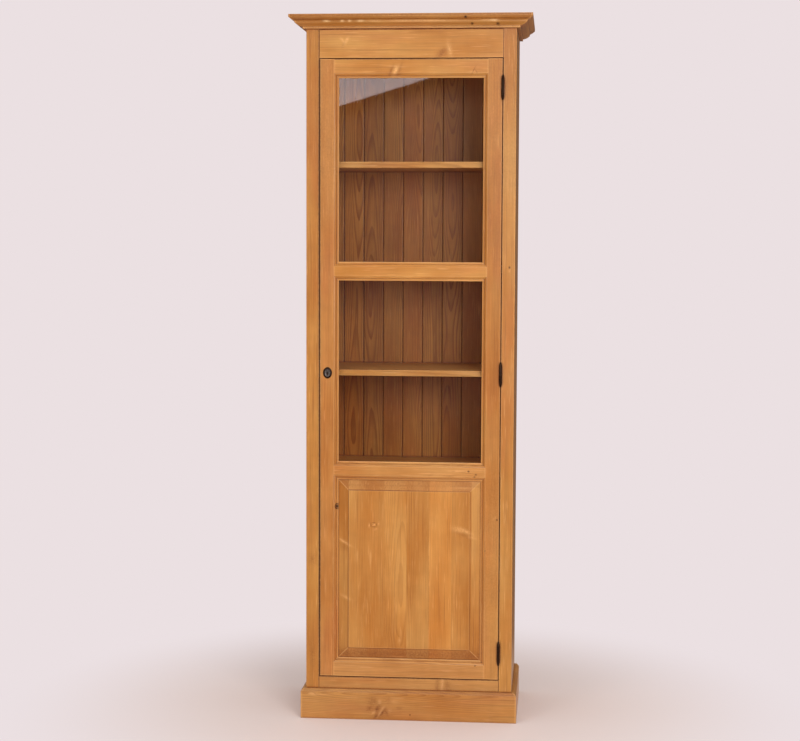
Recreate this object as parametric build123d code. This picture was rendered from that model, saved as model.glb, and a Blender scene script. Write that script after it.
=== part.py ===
from build123d import *
import math
import os

# A tall pine display cabinet: one door with two glazed openings over a raised panel,
# five shelves, a moulded cornice and a plinth. Millimetres.
# X runs to the right, Y towards the wall, Z up. The origin lies on the floor, at the
# middle of the floor space that the whole cabinet takes, cornice included.

# Carcase
height = 2100
carcase_width = 620
carcase_depth = 375
side_thickness = 20
top_thickness = 18
bottom_thickness = 18
housing_depth = 6  # groove in each side that holds the bottom board
arris = 1.5  # rounding of the edges that hands touch

# Face frame
frame_thickness = 22
frame_stile_width = 38.5
frieze_rail_width = 106
base_rail_width = 66
base_rail_top = 126
frame_tenon_length = 24
rail_end_chamfer = 1.6  # along the joints with the stiles

# Plinth, in front of the face frame and the sides
plinth_height = 90
plinth_thickness = 15
plinth_bevel_width = 7
plinth_bevel_height = 8

# Cornice section, from its top edge down
cornice_projection = 47
cornice_top_fillet = 8
upper_ovolo_width = 16
upper_ovolo_height = 10.5
middle_fillet = 4.5
lower_ovolo_width = 21
lower_ovolo_height = 11
bottom_fillet = 6
ovolo_bulge = 3.7

# Back boards, tongued and grooved, in a rebate behind the sides
back_board_pitch = 62.3
back_board_thickness = 12
back_recess = 8
back_rebate_width = 10
back_boards_bottom = 40
board_vee = 2.2
tongue_length = 5
tongue_thickness = 4
tongue_gap = 0.5

# Shelves, each on a bearer at either side
shelf_tops = [1674, 1364, 1054, 754, 444]
shelf_thickness = 18
shelf_setback = 32  # behind the face of the door
shelf_end_gap = 0.8
shelf_back_gap = 0.8
bearer_height = 18
bearer_thickness = 12
bearer_setback = 25  # behind the front edge of the shelf
bearer_slope = 10  # of the end that faces the door

# Door
door_gap = 2.5
stop_gap = 0.5  # between the back of the shut door and its stop
door_member_width = 55.5
door_tenon_length = 34
tenon_thickness = 8
tenon_shoulder = 7
stop_width = 20
stop_thickness = 12
stop_overlap = 8
stop_length = 400

# Moulding round each door opening
moulding_width = 13
moulding_quirk = 1.5
moulding_radius = 6.2
moulding_ledge = 3  # beside the ovolo
moulding_fall = 2.2  # of the slope that ends the moulding
rebate_depth = 12

# Glass and its beads
glass_thickness = 4
glass_cover = 12
bead_width = 11.5
bead_bevel = 4

# Raised panel
panel_edge_thickness = 6
panel_float = 1.5
panel_bevel_width = 31.5
panel_bevel_rise = 9
panel_step = 2.5

# Hinges: three pointed barrels, their leaves let into the edges of the stiles
hinge_radius = 4.5
hinge_stand_off = 0.5
hinge_half_length = 26
hinge_finial_length = 12
hinge_tip_radius = 1
hinge_finial_waist_radius = 3.4  # of the pointed end, part of the way along it
hinge_finial_waist = 5.4  # from the shoulder of the barrel
hinge_joint_gap = 0.3
hinge_pin_radius = 2.2
hinge_pin_length = 20
hinge_pin_clearance = 0.05
hinge_leaf_thickness = 1.5
hinge_leaf_height = 23
hinge_leaf_depth = 17  # behind the face of the door
top_hinge_inset = 84.5  # from the top of the door
bottom_hinge_inset = 80  # from the bottom of the door
middle_hinge_height = 1046

# Lock
lock_height = 1046
lock_backset = 23  # from the edge of the door to the keyhole
lock_case_width = 36
lock_case_height = 52
lock_case_thickness = 12
bolt_rise = 12  # of the middle of the bolt above the keyhole
bolt_height = 12
bolt_thickness = 5
bolt_length = 27
bolt_clearance = 0.3
bolt_travel = 9
strike_plate_thickness = 1.5
strike_plate_height = 50
strike_plate_width = 13
escutcheon_width = 27
escutcheon_height = 34
escutcheon_plate = 1.2
escutcheon_margin = 2  # outside the raised rim
escutcheon_rim_width = 3.2
escutcheon_rim_height = 0.9
keyhole_radius = 2.8
keyhole_slot_width = 2.6
keyhole_slot_drop = 8.5
keyhole_depth = 6  # into the lock case

# Places that follow from the sizes
front = (cornice_projection - carcase_depth) / 2
back = front + carcase_depth
frame_back = front + frame_thickness
side_outside = carcase_width / 2
side_inside = side_outside - side_thickness
side_top = height - top_thickness
board_face = back - back_recess - back_board_thickness
board_limit = side_inside + back_rebate_width
opening_half = side_outside - frame_stile_width
opening_top = side_top - frieze_rail_width
shelf_front = front + shelf_setback
shelf_back = board_face - shelf_back_gap

door_thickness = frame_thickness - stop_gap
door_half = opening_half - door_gap
door_bottom = base_rail_top + door_gap
door_top = opening_top - door_gap
door_back = front + door_thickness
door_flat = door_member_width - moulding_width
moulding_line = door_half - door_flat  # where stiles and rails meet
sight_half = moulding_line - moulding_width
sight_height = (door_top - door_bottom - 4 * door_member_width) / 3
# each opening between the outer lines of its moulding, from the top down
door_openings = []
for row in range(3):
    sight_top = door_top - door_member_width - row * (sight_height + door_member_width)
    door_openings.append((sight_top - sight_height - moulding_width, sight_top + moulding_width))
upper_glazed, lower_glazed, panelled = door_openings

hinge_x = opening_half - door_gap / 2
hinge_y = front - hinge_stand_off - hinge_radius
hinge_heights = {
    "top": door_top - top_hinge_inset,
    "middle": middle_hinge_height,
    "bottom": door_bottom + bottom_hinge_inset,
}
key_x = lock_backset - door_half
bolt_y = door_back - lock_case_thickness / 2
bolt_z = lock_height + bolt_rise


def block(x, y, z):
    """A box between two limits along each axis."""
    size = [limits[1] - limits[0] for limits in (x, y, z)]
    middle = [(limits[0] + limits[1]) / 2 for limits in (x, y, z)]
    return Pos(*middle) * Box(*size)


def mirrored(shape):
    return mirror(shape, about=Plane.YZ)


def outline(*points):
    return make_face(Polyline(*points, close=True))


def round_front(board, axis):
    """Round the front edges of a board that run along an axis."""
    edges = board.edges().filter_by(axis).group_by(Axis.Y)[0]
    return fillet(edges, arris)


def mitred_band(section, projection):
    """A front length and a right return of one section, given as (outward, up)."""
    corner = Vector(side_outside, front, 0)
    reach = side_outside + projection
    front_end = Plane(origin=(reach, front, 0), x_dir=(0, -1, 0), z_dir=(-1, 0, 0))
    back_end = Plane(origin=(side_outside, back, 0), x_dir=(1, 0, 0), z_dir=(0, -1, 0))
    mitre = Plane(origin=corner, z_dir=(1, 1, 0))
    length = extrude(front_end * section, 2 * reach)
    length = split(length, bisect_by=mitre, keep=Keep.BOTTOM)
    length = mirrored(split(mirrored(length), bisect_by=mitre, keep=Keep.BOTTOM))
    side = extrude(back_end * section, carcase_depth + projection)
    return length, split(side, bisect_by=mitre, keep=Keep.TOP)


def mitred_strip(section, length):
    """A strip along X, mitred at both ends. The section is (inward, depth)."""
    end = Plane(origin=(length / 2, 0, 0), x_dir=(0, 0, 1), z_dir=(-1, 0, 0))
    strip = extrude(end * section, length)
    for hand in (1, -1):
        mitre = Plane(origin=(hand * length / 2, 0, 0), z_dir=(hand, 0, 1))
        strip = split(strip, bisect_by=mitre, keep=Keep.BOTTOM)
    return strip


def opening_strip(section, opening, side):
    """A mitred strip along one side of a door opening."""
    low, high = opening
    middle = (low + high) / 2
    if side == "bottom":
        return Pos(0, front, low) * mitred_strip(section, 2 * moulding_line)
    if side == "top":
        return Pos(0, front, high) * Rot(0, 180, 0) * mitred_strip(section, 2 * moulding_line)
    if side == "left":
        return Pos(-moulding_line, front, middle) * Rot(0, 90, 0) * mitred_strip(section, high - low)
    return Pos(moulding_line, front, middle) * Rot(0, -90, 0) * mitred_strip(section, high - low)


def tenon(line, length, z, thickness):
    """A tenon that reaches outwards past a joint line, in the middle of a thickness."""
    low = front + (thickness - tenon_thickness) / 2
    return block((line, line + length), (low, low + tenon_thickness),
                 (z[0] + tenon_shoulder, z[1] - tenon_shoulder))


def with_tenons(rail, line, length, z, thickness):
    end = tenon(line, length, z, thickness)
    return rail + end + mirrored(end)


nodes = {}

# Sides, with a rebate for the back boards and a housing for the bottom board
side = block((side_inside, side_outside), (frame_back, back), (0, side_top))
side -= block((side_inside, board_limit), (board_face, back), (0, side_top))
housing_x = side_inside + housing_depth
bottom_z = (base_rail_top - bottom_thickness, base_rail_top)
side -= block((side_inside, housing_x), (frame_back, board_face), bottom_z)

nodes["side_right"] = side
nodes["side_left"] = mirrored(side)

# Bearers fixed to the sides under the shelves, cut back at the front end
bearer_front = shelf_front + bearer_setback
bearer_plane = Plane(origin=(side_inside, 0, 0), x_dir=(0, 1, 0), z_dir=(1, 0, 0))
bearers = []
for shelf_top in shelf_tops:
    upper = shelf_top - shelf_thickness
    lower = upper - bearer_height
    section = outline((bearer_front, upper), (shelf_back, upper), (shelf_back, lower),
                      (bearer_front + bearer_slope, lower))
    bearers.append(extrude(bearer_plane * section, -bearer_thickness))
nodes["shelf_bearers_right"] = Compound(children=[bearer.solid() for bearer in bearers])
nodes["shelf_bearers_left"] = Compound(children=[mirrored(bearer).solid() for bearer in bearers])

nodes["top_board"] = block((-side_outside, side_outside), (front, back), (side_top, height))
nodes["bottom_board"] = block((-housing_x, housing_x), (frame_back, board_face), bottom_z)

# Shelves, numbered from the top
shelf_half = side_inside - shelf_end_gap
for number, shelf_top in enumerate(shelf_tops, start=1):
    shelf = block((-shelf_half, shelf_half), (shelf_front, shelf_back),
                  (shelf_top - shelf_thickness, shelf_top))
    nodes[f"shelf_{number}"] = round_front(shelf, Axis.X)

# Back boards, from left to right, each with its tongue in the next one's groove
board_count = math.ceil(2 * board_limit / back_board_pitch)
board_back = board_face + back_board_thickness
tongue_front = (board_face + board_back - tongue_thickness) / 2
tongue_back = tongue_front + tongue_thickness
for number in range(1, board_count + 1):
    left = (number - 1) * back_board_pitch - board_limit
    right = min(left + back_board_pitch, board_limit)
    points = [(left + board_vee, board_face), (right - board_vee, board_face),
              (right, board_face + board_vee)]
    if number < board_count:
        tip = right + tongue_length
        points += [(right, tongue_front), (tip, tongue_front), (tip, tongue_back), (right, tongue_back)]
    points += [(right, board_back), (left, board_back)]
    if number > 1:
        root = left + tongue_length + tongue_gap
        points += [(left, tongue_back), (root, tongue_back), (root, tongue_front), (left, tongue_front)]
    points.append((left, board_face + board_vee))
    board = extrude(outline(*points), side_top - back_boards_bottom)
    nodes[f"back_board_{number}"] = Pos(0, 0, back_boards_bottom) * board

# Face frame: two stiles from floor to top board, a frieze rail and a base rail
frame_stile = block((opening_half, side_outside), (front, frame_back), (0, side_top))
outer_edge = frame_stile.edges().filter_by(Axis.Z).group_by(Axis.Y)[0].sort_by(Axis.X)[-1]
frame_stile = fillet(outer_edge, arris)
frame_rails = {
    "frieze_rail": (opening_top, side_top),
    "base_rail": (base_rail_top - base_rail_width, base_rail_top),
}
for name, rail_z in frame_rails.items():
    rail = block((-opening_half, opening_half), (front, frame_back), rail_z)
    rail = chamfer(rail.edges().filter_by(Axis.Z).group_by(Axis.Y)[0], rail_end_chamfer)
    nodes[name] = with_tenons(rail, opening_half, frame_tenon_length, rail_z, frame_thickness)
    frame_stile -= tenon(opening_half, frame_tenon_length, rail_z, frame_thickness)

# Plinth
plinth_section = outline(
    (0, 0), (plinth_thickness, 0), (plinth_thickness, plinth_height - plinth_bevel_height),
    (plinth_thickness - plinth_bevel_width, plinth_height), (0, plinth_height))
nodes["plinth_front"], nodes["plinth_right"] = mitred_band(plinth_section, plinth_thickness)
nodes["plinth_left"] = mirrored(nodes["plinth_right"])

# Cornice: a fillet, an ovolo, a fillet, a wider ovolo and a fillet, from the top down
ledge = cornice_projection - upper_ovolo_width
foot = ledge - lower_ovolo_width
drops = [height]
for drop in (cornice_top_fillet, upper_ovolo_height, middle_fillet, lower_ovolo_height, bottom_fillet):
    drops.append(drops[-1] - drop)
cornice_section = make_face([
    Polyline((foot, drops[5]), (0, drops[5]), (0, height), (cornice_projection, height),
             (cornice_projection, drops[1])).edges(),
    SagittaArc((cornice_projection, drops[1]), (ledge, drops[2]), ovolo_bulge).edges(),
    Line((ledge, drops[2]), (ledge, drops[3])).edges(),
    SagittaArc((ledge, drops[3]), (foot, drops[4]), ovolo_bulge).edges(),
    Line((foot, drops[4]), (foot, drops[5])).edges(),
])
nodes["cornice_front"], nodes["cornice_right"] = mitred_band(cornice_section, cornice_projection)
nodes["cornice_left"] = mirrored(nodes["cornice_right"])

# Stop strip behind the frieze rail, which the top of the door meets
nodes["door_stop"] = block((-stop_length / 2, stop_length / 2), (frame_back, frame_back + stop_thickness),
                           (opening_top - stop_overlap, opening_top - stop_overlap + stop_width))

# Sections round the door openings, from the outer line inwards and from the face back:
# a quirk, an ovolo, a ledge and a slope, and a shoulder that closes the groove behind the panel
ovolo_end = moulding_quirk + moulding_radius
ovolo_middle = (moulding_radius * math.sin(math.pi / 4),
                ovolo_end - moulding_radius * math.cos(math.pi / 4))
moulding_section = make_face([
    ThreePointArc((0, moulding_quirk), ovolo_middle, (moulding_radius, ovolo_end)).edges(),
    Polyline((moulding_radius, ovolo_end), (moulding_radius + moulding_ledge, ovolo_end),
             (moulding_width, ovolo_end + moulding_fall), (moulding_width, rebate_depth),
             (0, rebate_depth), (0, moulding_quirk)).edges(),
])
groove_back = rebate_depth + panel_edge_thickness
shoulder_section = outline((0, groove_back), (moulding_width, groove_back),
                           (moulding_width, door_thickness), (0, door_thickness))
opening_sections = {
    upper_glazed: [moulding_section],
    lower_glazed: [moulding_section],
    panelled: [moulding_section, shoulder_section],
}

# Door rails, each with the moulding of the openings above and below it
door_rails = {
    "door_top_rail": (None, upper_glazed),
    "door_glazing_rail": (upper_glazed, lower_glazed),
    "door_panel_rail": (lower_glazed, panelled),
    "door_bottom_rail": (panelled, None),
}
door_y = (front, door_back)
door_stile = block((moulding_line, door_half), door_y, (door_bottom, door_top))
for name, (above, below) in door_rails.items():
    rail_z = (below[1] if below else door_bottom, above[0] if above else door_top)
    rail = block((-moulding_line, moulding_line), door_y, rail_z)
    for opening, edge in ((above, "bottom"), (below, "top")):
        for section in opening_sections.get(opening, []):
            rail += opening_strip(section, opening, edge)
    nodes[name] = with_tenons(rail, moulding_line, door_tenon_length, rail_z, door_thickness)
    door_stile -= tenon(moulding_line, door_tenon_length, rail_z, door_thickness)
for opening, sections in opening_sections.items():
    for section in sections:
        door_stile += opening_strip(section, opening, "right")

# Glass from behind against the moulding, held by four mitred beads each
bead_front = rebate_depth + glass_thickness
bead_section = outline(
    (0, bead_front), (bead_width, bead_front), (bead_width, door_thickness - bead_bevel),
    (bead_width - bead_bevel, door_thickness), (0, door_thickness))
glass_margin = moulding_width - glass_cover
glass_half = sight_half + glass_cover
for level, (low, high) in (("upper", upper_glazed), ("lower", lower_glazed)):
    nodes[f"glass_{level}"] = block((-glass_half, glass_half),
                                    (front + rebate_depth, front + bead_front),
                                    (low + glass_margin, high - glass_margin))
    beads = [opening_strip(bead_section, (low, high), edge) for edge in ("top", "bottom", "left", "right")]
    nodes[f"glass_beads_{level}"] = Compound(children=[bead.solid() for bead in beads])

# Raised and fielded panel, loose in its groove
panel_middle = (panelled[0] + panelled[1]) / 2
margin_y = front + rebate_depth
bevel_y = margin_y - panel_bevel_rise
field_y = bevel_y - panel_step
field_half = sight_half - panel_bevel_width
field_rise = sight_height / 2 - panel_bevel_width
panel_half = moulding_line - panel_float
panel = block((-panel_half, panel_half), (margin_y, front + groove_back),
              (panelled[0] + panel_float, panelled[1] - panel_float))
bevel_ends = [
    Plane(origin=(0, margin_y, panel_middle), x_dir=(1, 0, 0), z_dir=(0, -1, 0))
    * Rectangle(2 * sight_half, sight_height),
    Plane(origin=(0, bevel_y, panel_middle), x_dir=(1, 0, 0), z_dir=(0, -1, 0))
    * Rectangle(2 * field_half, 2 * field_rise),
]
panel += loft(bevel_ends)
panel += block((-field_half, field_half), (field_y, bevel_y),
               (panel_middle - field_rise, panel_middle + field_rise))
nodes["door_panel"] = panel


# Hinges: the lower half and its pin stay on the face frame, the upper half turns with
# the door. Each half has a leaf that is let flush into the edge of its stile.
def hinge_barrel(direction):
    """A pointed barrel from the joint outwards, up or down from the origin."""
    start = hinge_joint_gap / 2
    tip = hinge_half_length + hinge_finial_length
    section = outline((0, start), (hinge_radius, start), (hinge_radius, hinge_half_length),
                      (hinge_finial_waist_radius, hinge_half_length + hinge_finial_waist),
                      (hinge_tip_radius, tip), (0, tip))
    barrel = revolve(Plane.XZ * section, axis=Axis.Z)
    return barrel if direction > 0 else mirror(barrel, about=Plane.XY)


def hinge_leaf(hand, direction, root):
    """A leaf from a root near the barrel's axis back along the edge of a stile."""
    edge = hand * door_gap / 2
    z = direction * hinge_half_length / 2
    return block(sorted((edge, edge + hand * hinge_leaf_thickness)),
                 (root, front + hinge_leaf_depth - hinge_y),
                 (z - hinge_leaf_height / 2, z + hinge_leaf_height / 2))


def hinge_rod(radius, start, end):
    return Pos(0, 0, start) * Cylinder(radius, end - start, align=(Align.CENTER, Align.CENTER, Align.MIN))


leaf_root = (hinge_radius + hinge_pin_radius) / 2
leaf_seat = front - hinge_y
joint_half = hinge_joint_gap / 2
pin_end = joint_half + hinge_pin_length
bore = hinge_rod(hinge_pin_radius + hinge_pin_clearance, joint_half, pin_end + hinge_joint_gap)
pin = hinge_rod(hinge_pin_radius, -joint_half, pin_end)
hinge_frame_half = hinge_barrel(-1) + hinge_leaf(1, -1, leaf_root) + pin
hinge_door_half = hinge_barrel(1) + hinge_leaf(-1, 1, leaf_root) - bore
frame_stile_hinged = frame_stile
door_stile_hinged = door_stile
for level, hinge_z in hinge_heights.items():
    place = Pos(hinge_x, hinge_y, hinge_z)
    nodes[f"hinge_{level}_frame_half"] = place * hinge_frame_half
    nodes[f"hinge_{level}_door_half"] = place * hinge_door_half
    frame_stile_hinged -= place * hinge_leaf(1, -1, leaf_seat)
    door_stile_hinged -= place * hinge_leaf(-1, 1, leaf_seat)
nodes["frame_stile_right"] = frame_stile_hinged
nodes["door_stile_right"] = door_stile_hinged

# Lock: a case let into the back of the left stile, and a bolt that slides out of its edge
case_x = (-door_half, lock_case_width - door_half)
case_y = (door_back - lock_case_thickness, door_back)
case_low = lock_height - lock_case_height / 2 + bolt_rise / 2
case_z = (case_low, case_low + lock_case_height)
lock_case = block(case_x, case_y, case_z)


def bolt_shape(start, length, clearance):
    """The bolt from a start in X inwards, grown by a clearance in Y and Z."""
    half_y = bolt_thickness / 2 + clearance
    half_z = bolt_height / 2 + clearance
    return block((start, start + length), (bolt_y - half_y, bolt_y + half_y),
                 (bolt_z - half_z, bolt_z + half_z))


def keyhole(y):
    """A keyhole between two depths."""
    plane = Plane(origin=(key_x, y[1], lock_height), x_dir=(1, 0, 0), z_dir=(0, -1, 0))
    slot = Pos(0, -keyhole_slot_drop / 2) * Rectangle(keyhole_slot_width, keyhole_slot_drop)
    return extrude(plane * (Circle(keyhole_radius) + slot), y[1] - y[0])


lock_room = bolt_clearance + bolt_length
nodes["lock_bolt"] = bolt_shape(-door_half, bolt_length, 0)
nodes["lock_case"] = (lock_case - bolt_shape(-door_half, lock_room, bolt_clearance)
                      - keyhole((case_y[0], case_y[0] + keyhole_depth)))
nodes["door_stile_left"] = mirrored(door_stile) - lock_case - keyhole((front, case_y[0]))

# Strike plate, let flush into the face frame, and the mortise behind it
strike_face = -opening_half
strike_back = strike_face - strike_plate_thickness
strike_half = strike_plate_height / 2
strike = block((strike_back, strike_face),
               (bolt_y - strike_plate_width / 2, bolt_y + strike_plate_width / 2),
               (bolt_z - strike_half, bolt_z + strike_half))
mortise_depth = bolt_travel - door_gap + 2 * bolt_clearance
mortise = bolt_shape(strike_face - mortise_depth, mortise_depth, bolt_clearance)
nodes["strike_plate"] = strike - mortise
nodes["frame_stile_left"] = mirrored(frame_stile) - strike - mortise

# Escutcheon: an oval plate with a raised rim round the keyhole
escutcheon_face = Plane(origin=(key_x, front, lock_height), x_dir=(1, 0, 0), z_dir=(0, -1, 0))
rim_inset = escutcheon_margin + escutcheon_rim_width
oval, rim_oval, inner_oval = [
    Ellipse(escutcheon_width / 2 - inset, escutcheon_height / 2 - inset)
    for inset in (0, escutcheon_margin, rim_inset)]
plate_face = escutcheon_face.offset(escutcheon_plate)
escutcheon = extrude(escutcheon_face * oval, escutcheon_plate)
escutcheon += extrude(plate_face * (rim_oval - inner_oval), escutcheon_rim_height)
nodes["escutcheon"] = escutcheon - keyhole((front - escutcheon_plate, front))

os.makedirs("parts", exist_ok=True)
for name, shape in nodes.items():
    export_step(shape, f"parts/{name}.step")
print(len(nodes), "nodes")
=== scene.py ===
import math
import bpy
import bmesh
from mathutils import Matrix, Vector


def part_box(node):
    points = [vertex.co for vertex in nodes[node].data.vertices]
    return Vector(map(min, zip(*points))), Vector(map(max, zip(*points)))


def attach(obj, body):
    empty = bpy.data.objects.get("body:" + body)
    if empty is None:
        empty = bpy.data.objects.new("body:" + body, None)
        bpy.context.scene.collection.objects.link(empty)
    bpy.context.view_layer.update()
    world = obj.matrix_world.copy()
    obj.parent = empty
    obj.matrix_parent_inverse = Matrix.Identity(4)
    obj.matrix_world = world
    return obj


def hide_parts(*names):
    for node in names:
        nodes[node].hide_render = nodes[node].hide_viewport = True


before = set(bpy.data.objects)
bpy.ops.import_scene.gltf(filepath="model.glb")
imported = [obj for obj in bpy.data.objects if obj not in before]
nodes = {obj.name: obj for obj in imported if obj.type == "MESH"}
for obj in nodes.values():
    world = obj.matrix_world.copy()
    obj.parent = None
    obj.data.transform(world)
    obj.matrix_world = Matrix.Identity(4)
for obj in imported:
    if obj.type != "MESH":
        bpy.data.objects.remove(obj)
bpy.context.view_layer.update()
print("frame loaded:", len(nodes), "nodes")


def srgb(red, green, blue):
    # 0-255 screen values to the linear values that shaders take
    def linear(value):
        value = value / 255
        return value / 12.92 if value <= 0.04045 else ((value + 0.055) / 1.055) ** 2.4
    return (linear(red), linear(green), linear(blue), 1.0)


def placeObject(name, data):
    made = bpy.data.objects.new(name, data)
    bpy.context.scene.collection.objects.link(made)
    return made


def meshFrom(name, shape):
    mesh = bpy.data.meshes.new(name)
    shape.to_mesh(mesh)
    shape.free()
    return mesh


def millimetres(*values):
    return Vector(values) / 1000


def ofKind(items, kind):
    return [item for item in items if isinstance(item, kind)]


class Value:
    # a socket that takes part in arithmetic
    def __init__(self, graph, socket):
        self.graph = graph
        self.socket = socket

    def math(self, operation, *others):
        return self.graph.node("ShaderNodeMath", {"operation": operation}, dict(enumerate((self, *others))))

    def __add__(self, other):
        return self.math("ADD", other)

    def __sub__(self, other):
        return self.math("SUBTRACT", other)

    def __mul__(self, other):
        return self.math("MULTIPLY", other)

    def __truediv__(self, other):
        return self.math("DIVIDE", other)

    def __rsub__(self, other):
        return self.graph.node("ShaderNodeMath", {"operation": "SUBTRACT"}, {0: other, 1: self})

    __radd__ = __add__
    __rmul__ = __mul__


class Graph:
    # the nodes of a material, or of the world
    def __init__(self, name, world=False):
        self.owner = bpy.data.worlds.new(name) if world else bpy.data.materials.new(name)
        self.owner.use_nodes = True
        self.tree = self.owner.node_tree
        self.tree.nodes.clear()
        self.out = self.tree.nodes.new("ShaderNodeOutputWorld" if world else "ShaderNodeOutputMaterial")

    def node(self, kind, settings=None, inputs=None, output=0):
        made = self.tree.nodes.new(kind)
        for key, value in (settings or {}).items():
            setattr(made, key, value)
        for key, value in (inputs or {}).items():
            if isinstance(value, Value):
                self.tree.links.new(value.socket, made.inputs[key])
            else:
                made.inputs[key].default_value = value
        return Value(self, made.outputs[output])

    def mix(self, factor, first, second, blend="MIX"):
        return self.node("ShaderNodeMix", {"data_type": "RGBA", "blend_type": blend},
                         {0: factor, 6: first, 7: second}, 2)

    def noise(self, vector, scale, detail=2.0, roughness=0.5):
        return self.node("ShaderNodeTexNoise", None,
                         {"Vector": vector, "Scale": scale, "Detail": detail, "Roughness": roughness})

    def smooth(self, value, low, high, first=0.0, last=1.0):
        return self.node("ShaderNodeMapRange", {"interpolation_type": "SMOOTHSTEP"},
                         {0: value, 1: low, 2: high, 3: first, 4: last})

    def vector(self, x, y, z):
        return self.node("ShaderNodeCombineXYZ", None, {0: x, 1: y, 2: z})

    def finish(self, shader):
        self.tree.links.new(shader.socket, self.out.inputs["Surface"])
        return self.owner


camera = {
    "place": (0.43583, -5.48255, 1.45541),
    "turn": 0.08714,      # radians to the left of straight ahead
    "tilt": 0.07482,      # radians downwards
    "roll": -0.00404,
    "lens": 81.0,         # mm
    "sensor": 36,         # its width in mm
    "farthest": 60,       # metres that it sees
}


def makeCamera():
    turn, tilt, roll = camera["turn"], camera["tilt"], camera["roll"]
    ahead = Vector((-math.sin(turn) * math.cos(tilt), math.cos(turn) * math.cos(tilt), -math.sin(tilt)))
    right = Vector((math.cos(turn), math.sin(turn), 0))
    up = right.cross(ahead)
    rolledRight = right * math.cos(roll) - up * math.sin(roll)
    rolledUp = right * math.sin(roll) + up * math.cos(roll)
    data = bpy.data.cameras.new("camera")
    data.lens = camera["lens"]
    data.sensor_width = camera["sensor"]
    data.clip_end = camera["farthest"]
    made = placeObject("camera", data)
    turned = Matrix((rolledRight, rolledUp, -ahead)).transposed().to_4x4()
    made.matrix_world = Matrix.Translation(camera["place"]) @ turned
    bpy.context.scene.camera = made


makeCamera()
print("camera placed")


pine = {
    "pale": srgb(212, 157, 82),
    "body": srgb(190, 125, 49),
    "warm": srgb(190, 112, 58),
    "late": srgb(147, 84, 28),      # the dark part of a growth ring
    "fleck": srgb(238, 184, 116),   # light cross grain beside knots; also painted highlights on fillets, mitre ridges and edges
    "chip": srgb(252, 214, 154),    # painted highlight: bright glints along the cornice's middle fillet
    "dark": srgb(138, 76, 22),      # in and round a knot, on end grain and in marks; some marks use it for painted shade
    "heart": srgb(34, 13, 4),       # the middle of a knot and its bark line
    "crevice": srgb(112, 48, 12),   # painted shade in corners and creases and at a raised field's foot
    "gap": srgb(66, 9, 1),          # the dark line at a joint; along the door's gaps it is painted gap shade
    "sunk": srgb(120, 22, 2),       # painted shade deep inside a gap or corner
    "waxFront": -0.162,             # a joint line's dull wax and painted gap shade are whole in front of this
    "waxBack": -0.158,              # and ends here
    "ringWidth": 0.0034,
    "seedStep": 1.7,                # how far along the grain the next board is taken
    "staveShift": (0.037, 0.61),    # and a glued-up board's next strip, across and along
    "sway": 0.05,                   # how far the pith wanders across the board
    "lift": 0.06,                   # and through it
    "parting": 0.003,               # how far rings part round a mark
    "bump": 0.0004,
    "cornerReach": 0.008,           # how far from a corner the painted shade reaches
    "edgeReach": 0.004,             # and how far in from an edge it is painted paler, as wear and as a painted highlight
    "seed": 1.31,                   # from one board to the next
    "roughness": 0.4,
    "coat": 0.2,
}

# noises in the wood: scale across the grain and along it, detail, roughness and share of the seed
grain = {
    "waver": (40, 5, 2.0, 0.5, 0),      # of the rings
    "streak": (75, 1.3, 2.0, 0.6, 0),
    "line": (320, 4, 2.0, 0.6, 0),
    "fibre": (1500, 26, 2.0, 0.6, 0),
    "dash": (300, 13, 2.0, 0.55, 1),
    "cloud": (9, 2.4, 3.0, 0.55, 1),
    "blotch": (34, 11, 3.0, 0.6, 1),
    "shimmer": (14, 34, 2.0, 0.5, -1),
}


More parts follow.
